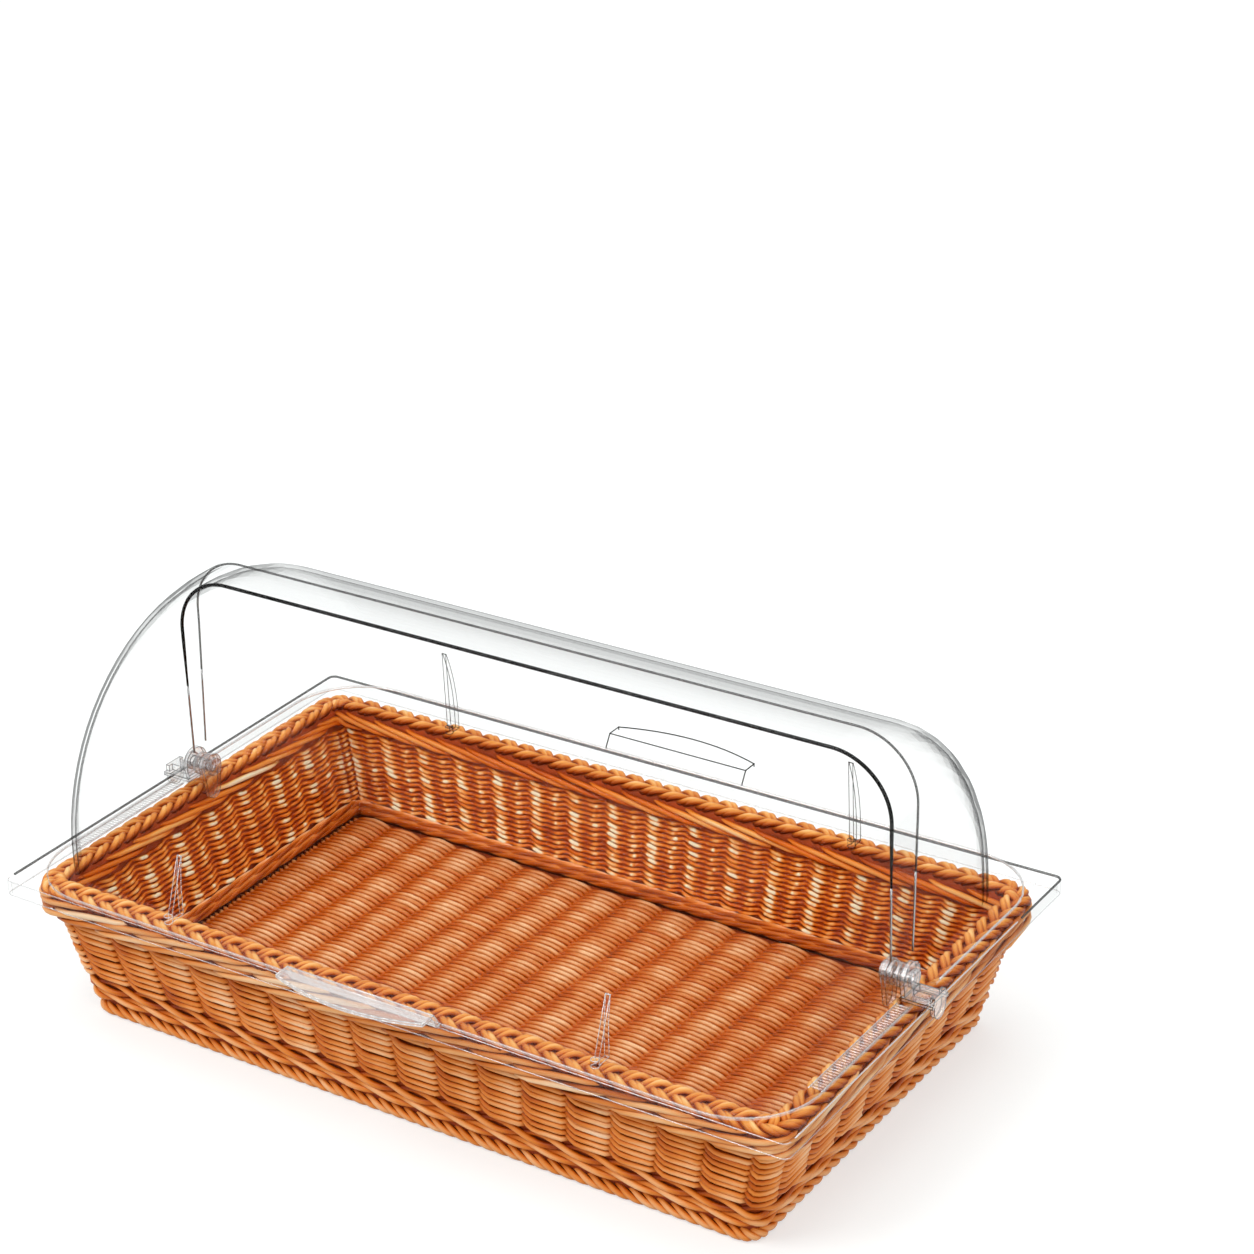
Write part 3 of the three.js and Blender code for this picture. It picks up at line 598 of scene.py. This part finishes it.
def twisted(
    name, line, turns, strands, lay_out, lay_up, size, hand=-1, samples=12, phase=0.0, sides=8, light=0.36
):
    """Rope of round strands laid about a line round the basket, as far as lay_out and lay_up from
    it. The samples are points in each turn."""
    # Painted light on each strand where it turns outward and painted shade where it turns in
    flatness, outward_light = 0.94, 0.28
    q = shares_round(int(turns * samples))
    centre, outward = line(q)
    paths = []
    tones = []
    for strand in range(strands):
        angle = hand * TURN * turns * q + TURN * strand / strands + phase
        path = centre + outward * (lay_out * np.cos(angle))[:, None]
        path[:, 2] += lay_up * np.sin(angle)
        paths.append(path)
        tones.append(light + outward_light * np.cos(angle))
    outs = np.broadcast_to(outward, (strands,) + outward.shape)
    return tubes(
        name, np.array(paths), outs, size, size * flatness, OUTER, "basket", sides=sides, closed=True,
        tone=np.array(tones))


def lower_bands():
    """Two rows of crossing strands below the outer weave."""
    turns, strands = COLUMNS / 2, 2
    upper, lower = wall_line(23.4, -2.9), wall_line(15.6, -2.9)
    quarter = math.pi / 2
    twisted("pairing_upper", upper, turns, strands, lay_out=1.1, lay_up=3.3, size=2.05)
    twisted("pairing_lower", lower, turns, strands, lay_out=1.2, lay_up=2.2, size=2.1, phase=quarter)


def foot_rope():
    """Twisted border that the basket stands on."""
    turns, strands, lay = 40, 4, 2.9
    line = wall_line(5.0, -4.9)
    return twisted("foot_rope", line, turns, strands, lay, lay, size=2.05, samples=18)


def inner_bands():
    """Two ropes where the walls meet the floor on the inside."""
    turns, strands = 26, 3
    shared = {"hand": 1, "samples": 14, "sides": 6}
    low, high = wall_line(18.6, -9.4), wall_line(22.6, -8.6)
    low_lay, high_lay = 1.7, 1.5
    # Painted light: the waling ropes take far lighter tones than the other ropes, lifting the shade where
    # the walls meet the floor
    twisted("waling_low", low, turns, strands, low_lay, low_lay, size=1.7, light=0.86, **shared)
    twisted(
        "waling_high", high, turns, strands, high_lay, high_lay, size=1.6, phase=1.0, light=0.9, **shared)


def rim_band(name, inset, start_z, end_z, mat=RIM, pitch=1.0, inside=False, tone_shift=0.0):
    """Low-angled strands laid side by side round the rim, each tucked in at both ends. The pitch
    and the length of a strand are in columns."""
    strand_length, strand_points = 2.0, 12
    tuck_depth, first_tuck, last_tuck = 3.4, (0, 0.16), (0.86, 1.0)
    crown, half_wide, half_thick = 0.4, 2.0, 1.7
    tip, tip_power = 0.06, 0.25
    # Painted light on the middle of each strand, where it arches out between its tucked ends
    dark, crown_light = 0.34, 0.3
    z_varies, tuck_varies, tone_varies = 0.4, 0.35, 0.13
    count = int(round(COLUMNS / pitch))
    strand, share = np.meshgrid(np.arange(count), np.linspace(0, 1, strand_points), indexing="ij")
    q = (strand / count) + share * strand_length / COLUMNS
    arch = np.sin(math.pi * share)
    z = start_z + (end_z - start_z) * share + crown * arch + rng.normal(0, z_varies, (count, 1))
    tuck = tuck_depth * (1 - smooth_step(share, *first_tuck) + smooth_step(share, *last_tuck))
    tuck = tuck + rng.normal(0, tuck_varies, (count, 1))
    points, outward = on_rim(q, z, inset - tuck if inside else inset + tuck)
    outward = -outward if inside else outward
    wide = half_wide * np.sin(math.pi * np.clip(share, tip, 1 - tip)) ** tip_power
    tone = dark + tone_shift + crown_light * arch + rng.normal(0, tone_varies, (count, 1))
    return tubes(name, points, outward, wide, half_thick, mat, "basket", sides=8, tone=tone)


def rim_plait():
    """Flat three-part plait along the top of the rim, each part a pair of strands."""
    turns, samples, parts = 38, 20, 3
    middle_inset, swing, rise = 9.6, 6.2, 2.2
    inner_z, outward_drop = 90.6, 0.14
    inner_side = -6.3
    way_round, pair_gap = 1640.0, 2.1
    half_wide, half_thick = 2.15, 2.1
    # Painted light where a strand rides high in the plait and painted shade where it dips
    middle_tone, high_light, pair_light = 0.44, 0.26, 0.05
    q = shares_round(turns * samples)
    paths = []
    tones = []
    for part in range(parts):
        angle = TURN * turns * q + TURN * part / parts
        lateral = swing * np.sin(angle)
        height = inner_z + rise * np.sin(2 * angle) - outward_drop * (lateral - inner_side)
        for pair in (-1, 1):
            paths.append(on_rim(q + pair * pair_gap / way_round, height, middle_inset - lateral)[0])
            tones.append(middle_tone + high_light * np.sin(2 * angle) + pair_light * pair)
    paths = np.array(paths)
    return tubes(
        "rim_plait", paths, np.broadcast_to(UP, paths.shape), half_wide, half_thick, PLAIT, "basket",
        sides=8, closed=True, tone=np.array(tones), painted_side_shade=0.4)


def rim_core():
    """Shaded core under the plait and the bands, its section in heights and insets."""
    q = shares_round(CORE_POINTS)
    section = [(76, 5.5), (88, 3.4), (90.2, 5.5), (90.2, 15.0), (88, 16.8), (79, 16.0), (76, 12.5)]
    loops = [on_rim(q, np.full(q.shape, z), np.full(q.shape, inset))[0] for z, inset in section]
    return closed_band("rim_core", loops, "basket")


def floor_weave():
    """Floor: strands along the length, over one stake and under the next."""
    spacing, half_rows = 2.25, 56
    half, wide, radius = 236.0, 131.0, 8.0
    points_per_stake, spans = 8, STAKES + 1
    least_step = 1e-4
    rise, roundness = 3.05, 0.72
    waver, waver_along, waver_by_row = 0.25, 0.021, 0.013
    # Painted light on the ridges' tops, painted shade in the valleys, and one flank of each ridge painted
    # lighter and the other darker
    middle_tone, ridge_light, flank_light, deepest = 0.45, 0.34, 0.16, -0.9
    half_wide, half_thick = 1.8, 1.75
    place_varies, tone_varies = 0.12, 0.03
    rows = np.arange(-half_rows, half_rows + 1)
    rows = rows[np.abs(rows * spacing) < wide]
    y = rows * spacing
    past_corner = np.clip(np.abs(y) - (wide - radius), 0, None)
    reach = half - radius + np.sqrt(np.clip(radius**2 - past_corner**2, 0, None))
    steps = np.arange(-spans * points_per_stake // 2, spans * points_per_stake // 2 + 1)
    x = steps * STAKE_PITCH / points_per_stake
    x = np.clip(np.broadcast_to(x, (len(y), len(x))), -reach[:, None], reach[:, None])
    x = x + np.arange(len(steps)) * least_step
    angle = math.pi * x / STAKE_PITCH + math.pi * rows[:, None]
    swing = np.cos(angle)
    lift = np.sign(swing) * np.abs(swing) ** roundness
    drift = waver * np.sin(x * waver_along + rows[:, None] * waver_by_row)
    path_y = y[:, None] + rng.normal(0, place_varies, x.shape) + drift
    paths = np.stack([x, path_y, FLOOR_Z + rise * lift], -1)
    ridge = ridge_light * np.clip(lift, deepest, 1.0) * np.abs(lift)
    flank = flank_light * np.sin(angle) * (lift > 0)
    tone = middle_tone + ridge + flank + rng.normal(0, tone_varies, lift.shape)
    return tubes(
        "floor_weave", paths, np.broadcast_to(UP, paths.shape), half_wide, half_thick, FLOOR, "basket",
        tone=tone, painted_side_shade=0.36)


def floor_core():
    """Thin shaded sheet in the middle of the floor."""
    bottom, top = 12.4, 13.4
    face = (236.5, 131.5, 8.0)
    q = shares_round(160)
    x, y, _, _ = outline(q, *face)
    loops = [np.stack([x, y, np.full(q.shape, z)], -1) for z in (bottom, top)]
    count = len(q)
    faces = [tuple(range(count - 1, -1, -1)), tuple(range(count, 2 * count))]
    for i in range(count):
        j = (i + 1) % count
        faces.append((i, j, count + j, count + i))
    return new_object("floor_core", np.concatenate(loops) * MM, faces, [CORE], "basket", smooth=False)


def floor_stakes():
    """Stakes under the floor's ridges, from the front to the back."""
    half_length, points, size = 122, 6, 1.5
    x = (np.arange(STAKES) - STAKES // 2) * STAKE_PITCH
    x, y = np.meshgrid(x, np.linspace(-half_length, half_length, points), indexing="ij")
    paths = np.stack([x, y, np.full(x.shape, FLOOR_Z)], -1)
    up = np.broadcast_to(UP, paths.shape)
    return tubes("floor_stakes", paths, up, size, size, FLOOR, "basket", sides=8, tone=0.2)


def stands_for(obj, slot, *nodes):
    """The piece takes the place of CAD nodes, which are hidden. The slot is not used."""
    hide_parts(*nodes)


stands_for(outer_weave(), "wicker", "woven_wall")
wall_core()
inner_weave()
lower_bands()
stands_for(foot_rope(), "wicker_dark", "foot_border")
inner_bands()
rim_band("rim_band_low", inset=2.6, start_z=72.6, end_z=80.6)
rim_band("rim_band_high", inset=2.0, start_z=80.0, end_z=88.0, tone_shift=0.08)
rim_band(
    "rim_band_inside", inset=18.0, start_z=76.5, end_z=86.0, mat=INNER, pitch=0.8, inside=True,
    tone_shift=-0.05)
stands_for(rim_plait(), "wicker_dark", "rim_border")
rim_core()
stands_for(floor_weave(), "wicker", "woven_floor")
floor_core()
stake_nodes = ["floor_stake_%02d" % number for number in range(1, STAKES + 1)]
stands_for(floor_stakes(), "wicker_dark", *stake_nodes)


# Clear pieces
def repaint(cad, mat):
    """CAD node with its own shape and another material."""
    mesh = frame["nodes"][cad].data
    mesh.materials.clear()
    mesh.materials.append(mat)


def first_material(face):
    return 0


def dressed(cad, body, mats, pick=first_material, slot="clear_plastic"):
    """Copy of a CAD node's mesh with smooth curved faces. Pick gives each face's place in mats."""
    smooth_below = math.radians(28.0)
    name = cad + "_clear"
    mesh = frame["nodes"][cad].data.copy()
    mesh.name = name
    mesh.materials.clear()
    for mat in mats:
        mesh.materials.append(mat)
    obj = bpy.data.objects.new(name, mesh)
    bpy.context.scene.collection.objects.link(obj)
    for face in mesh.polygons:
        face.material_index = int(pick(face))
        face.use_smooth = True
    mesh.set_sharp_from_angle(angle=smooth_below)
    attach(obj, body)
    stands_for(obj, slot, cad)


SHELL_MATS = [CLEAR, CLEAR_FLANGE, EDGE_FAINT, CLEAR_END]


def is_upright(face):
    return abs(face.normal.z) <= 0.5


def shell_pick(face):
    """Place in SHELL_MATS: the flange's broad faces, its edges in a faint painted line, the rounded ends in
    a copy with painted shade near their silhouettes, or the rest.
    """
    if face.center.z < FLANGE_TOP * MM:
        return 2 if is_upright(face) else 1
    least_turned, flat_end = 0.47, 0.999
    return 3 if least_turned < abs(face.normal.x) < flat_end else 0


def edge_lines(cad, body, mat, size, lowest=-2.0):
    """Thin lines of painted shade or highlight, by their material, just inside a clear piece's sharp edges
    whose outward direction, the sum of the faces' normals made a unit, rises at least by lowest."""
    sharp = math.radians(38.0)
    sunk = 1.3
    shape = bmesh.new()
    shape.from_mesh(frame["nodes"][cad].data)
    bmesh.ops.remove_doubles(shape, verts=shape.verts, dist=1e-6)
    paths = []
    outs = []
    for edge in shape.edges:
        if len(edge.link_faces) != 2 or edge.calc_face_angle(0.0) <= sharp:
            continue
        out = unit(sum((np.array(face.normal) for face in edge.link_faces), np.zeros(3)))
        if out[2] < lowest:
            continue
        ends = np.array([vert.co[:] for vert in edge.verts]) / MM
        paths.append(ends - out * size * sunk)
        outs.append(np.tile(out, (2, 1)))
    shape.free()
    tubes(cad + "_lines", paths, np.array(outs), size, size, mat, body)


def rear_edge_y(rise):
    """The rear shell's free edge is upright, a little in front of the pivots' axis."""
    return np.full(rise.shape, -8.7)


def front_edge_y(rise):
    """The front shell's free edge leans back from the ear up and is upright further up."""
    foot_y, lean, upright_y, inside = 8.5, 0.052, 13.7, 0.75
    return np.minimum(upright_y, foot_y + lean * rise) - inside


def shell_edge(name, half, radius, edge_y, size, end_size, mat, body):
    """Line along the free edge of a shell, painted dark or grey for the shade and dark reflections that
    the edge shows, from one pivot ear over the top to the other. It is thinner and sheer on the upright
    stretches at both ends. Rises are heights over the pivots' axis."""
    lowest_rise, over_top_rise = 12.0, 58.0
    full_size_run = (62.0, 96.0)
    upright_points, corner_points = 12, 24
    half, radius, corner = (value - SHELL_THICK / 2 for value in (half, radius, SHELL_CORNER))
    upright = np.linspace(lowest_rise, radius - corner, upright_points)
    turn = np.linspace(0, math.pi / 2, corner_points)[1:]
    x = np.concatenate([np.full(upright.shape, half), half - corner + corner * np.cos(turn)])
    rise = np.concatenate([upright, radius - corner + corner * np.sin(turn)])
    x = np.concatenate([x, -x[::-1]])
    rise = np.concatenate([rise, rise[::-1]])
    path = np.stack([x, edge_y(rise), SHELL_AXIS + rise], -1)
    width = end_size + (size - end_size) * smooth_step(rise, *full_size_run)
    high = np.flatnonzero(rise > over_top_rise)
    runs = (
        ("_over_top", slice(high[0], high[-1] + 1), mat),
        ("_right", slice(0, high[0] + 1), EDGE_SHEER),
        ("_left", slice(high[-1], None), EDGE_SHEER),
    )
    for suffix, part, run_mat in runs:
        outward = np.broadcast_to(BACKWARD, path[part].shape)[None]
        run_width = width[part][None]
        tubes(name + suffix, path[part][None], outward, run_width, run_width, run_mat, body, sides=10)


def outline_edge(name, body, face, z, keep, mat, size):
    """Painted line of shade or highlight, by its material, round the part of a level outline where keep
    holds true.
    """
    x, y, _, _ = outline(shares_round(360), *face)
    held = keep(x, y)
    closed = bool(held.all())
    if not closed:
        start = int(np.argmax(held & ~np.roll(held, 1)))
        x, y, held = (np.roll(values, -start) for values in (x, y, held))
        x, y = x[held], y[held]
    path = np.stack([x, y, np.full(x.shape, z)], -1)[None]
    tubes(name, path, np.broadcast_to(UP, path.shape), size, size, mat, body, closed=closed)


def frame_edges():
    """Painted lines on the edges of the frame's strip: the upper one a grey painted shade behind and at the
    left, a painted highlight at the right and faint in front, and the lower one faint all round."""
    front, rear_corner, right_corner, right_end = -160.0, 105.0, 270.0, 278.0

    def behind_and_left(x, y):
        return (y > front) & ((x < right_corner) | (y > rear_corner))

    def at_right(x, y):
        return (x > right_end) & (y > front) & (y < rear_corner + 1)

    def in_front(x, y):
        return y < front + 1

    def all_round(x, y):
        return np.ones(x.shape, bool)

    outline_edge("frame_edge_top", "cover", FRAME_FACE, FRAME_TOP, behind_and_left, EDGE_GREY, size=0.8)
    outline_edge("frame_edge_right", "cover", FRAME_FACE, FRAME_TOP, at_right, EDGE_LIGHT, size=0.5)
    outline_edge("frame_edge_front", "cover", FRAME_FACE, FRAME_TOP, in_front, EDGE_FAINT, size=0.35)
    outline_edge("frame_edge_low", "cover", FRAME_FACE, FRAME_LOW, all_round, EDGE_FAINT, size=0.35)


def before_front_flange_end(x, y):
    return y < -13.0


def behind_rear_flange_end(x, y):
    return y > 17.0


def end_strips():
    """Fine cross marks moulded into the front flange's two ends, between two lines."""
    mark_pitch, mark_wide, mark_thick = 2.6, 1.0, 0.7
    first_mark, last_mark = -15.5, -113.0
    mark_start, mark_end, mark_points = 263.4, 270.6, 4
    line_places = (262.9, 271.2)
    line_start, line_end, line_points, line_size = -14.0, -114.0, 12, 0.4
    mark_y = np.arange(first_mark, last_mark, -mark_pitch)
    line_y = np.linspace(line_start, line_end, line_points)
    for side, sign in (("left", -1), ("right", 1)):
        mark_x = sign * np.linspace(mark_start, mark_end, mark_points)
        y, x = np.meshgrid(mark_y, mark_x, indexing="ij")
        marks = np.stack([x, y, np.full(x.shape, FLANGE_LINE_Z)], -1)
        up = np.broadcast_to(UP, marks.shape)
        tubes("front_flange_marks_" + side, marks, up, mark_wide, mark_thick, CLEAR_STRIP, "front_cover")
        # The two lines are painted highlights
        for place in line_places:
            x, z = (np.full(line_points, value) for value in (sign * place, FLANGE_LINE_Z))
            line = np.stack([x, line_y, z], -1)[None]
            up = np.broadcast_to(UP, line.shape)
            name = "front_flange_line_%s_%d" % (side, place)
            tubes(name, line, up, line_size, line_size, EDGE_LIGHT, "front_cover")


dressed("front_shell", "front_cover", SHELL_MATS, shell_pick)
dressed("rear_shell", "cover", SHELL_MATS, shell_pick)
dressed("front_handle", "front_cover", [CLEAR_TAB])
dressed("rear_handle", "cover", [CLEAR_FLANGE])
for side in ("left", "right"):
    dressed("front_rib_" + side, "front_cover", [CLEAR_RIB])
    dressed("rear_rib_" + side, "cover", [CLEAR_RIB])
dressed("cover_frame", "cover", [RAIL, RAIL_SIDE], is_upright, slot="clear_fittings")
for hoop in ("rim_hoop", "foot_hoop"):
    repaint(hoop, STEEL)

# Edge lines in darker and lighter copies: painted shade on the rear handle's and rear ribs' edges, painted
# highlights on the front handle's and front ribs', and painted grey or sheer lines on the pivots'
edge_lines("rear_handle", "cover", EDGE_DARK, size=0.42, lowest=0.0)
edge_lines("front_handle", "front_cover", EDGE_LIGHT, size=0.45)
for side in ("left", "right"):
    edge_lines("rear_rib_" + side, "cover", EDGE_GREY, size=0.25)
    edge_lines("front_rib_" + side, "front_cover", EDGE_LIGHT, size=0.25)
    for kind in ("bracket", "plate", "pin", "spacer", "bush"):
        pivot = "pivot_%s_%s" % (kind, side)
        repaint(pivot, FITTING)
        edge_lines(pivot, "cover", EDGE_GREY if kind == "bracket" else EDGE_SHEER, size=0.24)

# Painted dark line on the rear shell's free edge and painted grey line on the front shell's
shell_edge(
    "rear_shell_free_edge", half=257.0, radius=140.2, edge_y=rear_edge_y, size=1.12, end_size=0.7,
    mat=EDGE_DARK, body="cover")
shell_edge(
    "front_shell_free_edge", half=261.8, radius=145.0, edge_y=front_edge_y, size=0.7, end_size=0.65,
    mat=EDGE_GREY, body="front_cover")
frame_edges()
# Painted faint line on the front flange's edge and painted highlight on the rear flange's edge
outline_edge(
    "front_flange_edge", "front_cover", FLANGE_FACE, FLANGE_LINE_Z, before_front_flange_end,
    EDGE_FAINT, size=0.4)
end_strips()
outline_edge(
    "rear_flange_edge", "cover", FLANGE_FACE, FLANGE_LINE_Z, behind_rear_flange_end, EDGE_LIGHT,
    size=0.6)


# Stage, lights and camera, in metres
def stage_floor():
    """Pale floor that keeps the object's shadow and glows more with distance, up to white."""
    near, far = 0.9, 3.2
    near_glow, far_glow = 0.52, 0.66
    half_size = 12.0
    made, tree, out = material("floor_pale")
    lit = node(tree, "ShaderNodeBsdfDiffuse", Color=(0.54, 0.565, 0.56, 1)).outputs["BSDF"]
    away = tree.nodes.new("ShaderNodeVectorMath")
    away.operation = "LENGTH"
    plug(tree, object_place(tree), away.inputs[0])
    lift = node(
        tree, "ShaderNodeMapRange", Value=away.outputs["Value"],
        From_Min=near, From_Max=far, To_Min=near_glow, To_Max=far_glow,
    )
    glow = node(tree, "ShaderNodeEmission", Strength=lift.outputs["Result"])
    both = tree.nodes.new("ShaderNodeAddShader")
    plug(tree, lit, both.inputs[0])
    plug(tree, glow.outputs["Emission"], both.inputs[1])
    surface = mixed(tree, background_rays(tree), lit, both.outputs["Shader"])
    plug(tree, surface, out.inputs["Surface"])
    corners = [(-1, -1), (1, -1), (1, 1), (-1, 1)]
    verts = [(x * half_size, y * half_size, 0) for x, y in corners]
    new_object("stage_floor", verts, [(0, 1, 2, 3)], [made], None, smooth=False)


def world():
    """Soft even light, with white behind the object."""
    studio = bpy.data.worlds.new("studio")
    bpy.context.scene.world = studio
    studio.use_nodes = True
    tree = studio.node_tree
    tree.nodes.clear()
    out = tree.nodes.new("ShaderNodeOutputWorld")
    soft = node(tree, "ShaderNodeBackground", Color=WHITE, Strength=0.62)
    white = node(tree, "ShaderNodeBackground", Color=WHITE, Strength=1.0)
    surface = mixed(tree, background_rays(tree), soft.outputs[0], white.outputs[0])
    plug(tree, surface, out.inputs["Surface"])


def area(name, place, size, power):
    """Square lamp turned to the middle of the basket."""
    target = (0, 0, 0.1)
    data = bpy.data.lights.new(name, "AREA")
    data.shape = "SQUARE"
    data.size = size
    data.energy = power
    obj = bpy.data.objects.new(name, data)
    bpy.context.scene.collection.objects.link(obj)
    toward = Vector(np.array(target) - np.array(place))
    obj.rotation_euler = toward.to_track_quat("-Z", "Y").to_euler()
    obj.location = place


def camera():
    """Camera fitted to the closed bin in the photograph, which is 1254 pixels square."""
    azimuth, elevation, roll = (math.radians(angle) for angle in (33.83, 25.31, -1.79))
    place = np.array([1.0042, -1.3825, 1.0725])
    focal_pixels, picture_pixels, sensor = 3209.284, 1254, 36.0
    level = math.cos(elevation)
    back = np.array([math.sin(azimuth) * level, -math.cos(azimuth) * level, math.sin(elevation)])
    right = np.array([math.cos(azimuth), math.sin(azimuth), 0.0])
    up = np.cross(back, right)
    rolled_right = math.cos(roll) * right + math.sin(roll) * up
    rolled_up = -math.sin(roll) * right + math.cos(roll) * up
    data = bpy.data.cameras.new("camera")
    data.sensor_fit = "HORIZONTAL"
    data.sensor_width = sensor
    data.lens = focal_pixels / picture_pixels * sensor
    data.clip_start = 0.05
    data.clip_end = 50
    obj = bpy.data.objects.new("camera", data)
    bpy.context.scene.collection.objects.link(obj)
    pose = np.eye(4)
    pose[:3] = np.stack([rolled_right, rolled_up, back, place], 1)
    obj.matrix_world = Matrix(pose.tolist())
    bpy.context.scene.camera = obj


stage_floor()
world()
area("key", (-1.1, -1.5, 2.2), size=1.6, power=34)
area("fill", (1.8, -0.9, 1.3), size=1.6, power=12)
area("top", (0.1, 0.5, 2.2), size=1.8, power=16)
camera()
bpy.context.scene.view_settings.view_transform = "Standard"
# More clear surfaces lie behind each other than the default number lets light through
bpy.context.scene.cycles.transparent_max_bounces = 48
